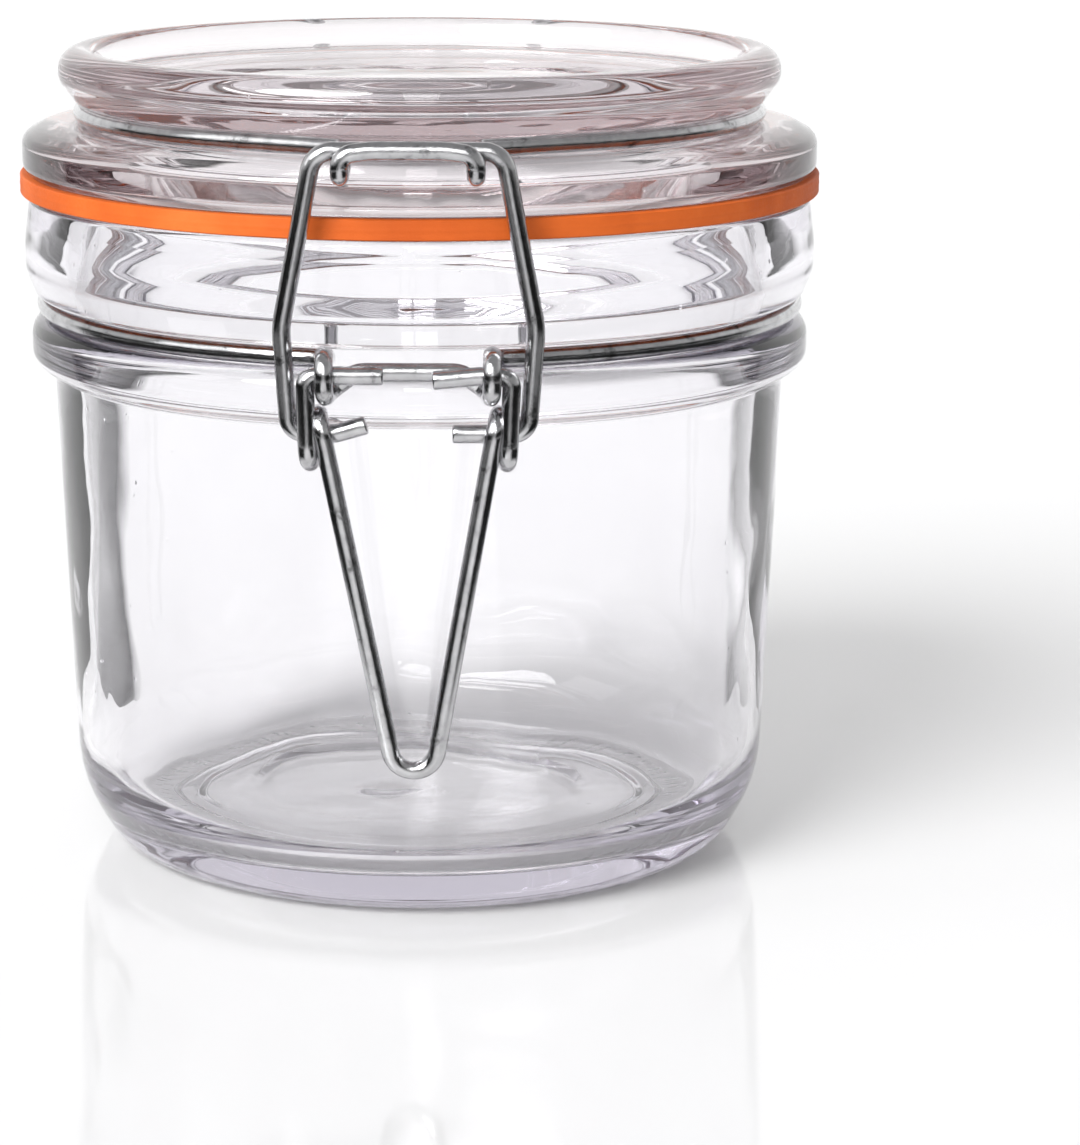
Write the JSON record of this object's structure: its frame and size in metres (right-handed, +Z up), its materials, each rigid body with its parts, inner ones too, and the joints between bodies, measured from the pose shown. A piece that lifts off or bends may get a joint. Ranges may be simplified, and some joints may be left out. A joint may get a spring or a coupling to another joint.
{
  "type": "clip-top glass canister",
  "caption": "Squat clear glass canister with a dished glass lid, an orange rubber sealing ring, and a wire hinge and over-centre wire clasp.",
  "frame": {"origin": "centre of the ring the jar stands on, on the jar's axis", "axes": "+Z up along the jar's axis, -Y towards the clasp, +Y towards the lid hinge, +X to the right seen from the clasp"},
  "size_m": [0.098, 0.1081, 0.0989],
  "materials": {
    "jar_glass": "clear polished, with slight flow waves",
    "lid_glass": "clear polished, with slight flow waves",
    "ring_rubber": "moulded matte",
    "steel_wire": "bright drawn wire"
  },
  "bodies": {
    "jar": {"glass_jar": "jar_glass", "neck_wire": "steel_wire"},
    "lid": {"glass_lid": "lid_glass", "rubber_ring": "ring_rubber", "lid_wire": "steel_wire"},
    "lever": {"lever_wire": "steel_wire"},
    "bail": {"bail_wire": "steel_wire"}
  },
  "joints": [
    {"name": "lid_hinge", "type": "hinge", "parent": "jar", "child": "lid", "pos_m": [0, 0.0502, 0.0679], "axis": [-1, 0, 0], "range_deg": [0, 180]},
    {"name": "lever_pivot", "type": "hinge", "parent": "jar", "child": "lever", "pos_m": [0, -0.0514, 0.067], "axis": [-1, 0, 0], "range_deg": [0, 110]},
    {"name": "bail_pivot", "type": "hinge", "parent": "lever", "child": "bail", "pos_m": [0, -0.04985, 0.0602], "axis": [-1, 0, 0], "range_deg": [-87, 0]}
  ],
  "couplings": [
    {"joint": "bail_pivot", "follows": "lever_pivot", "ratio": -0.79}
  ]
}
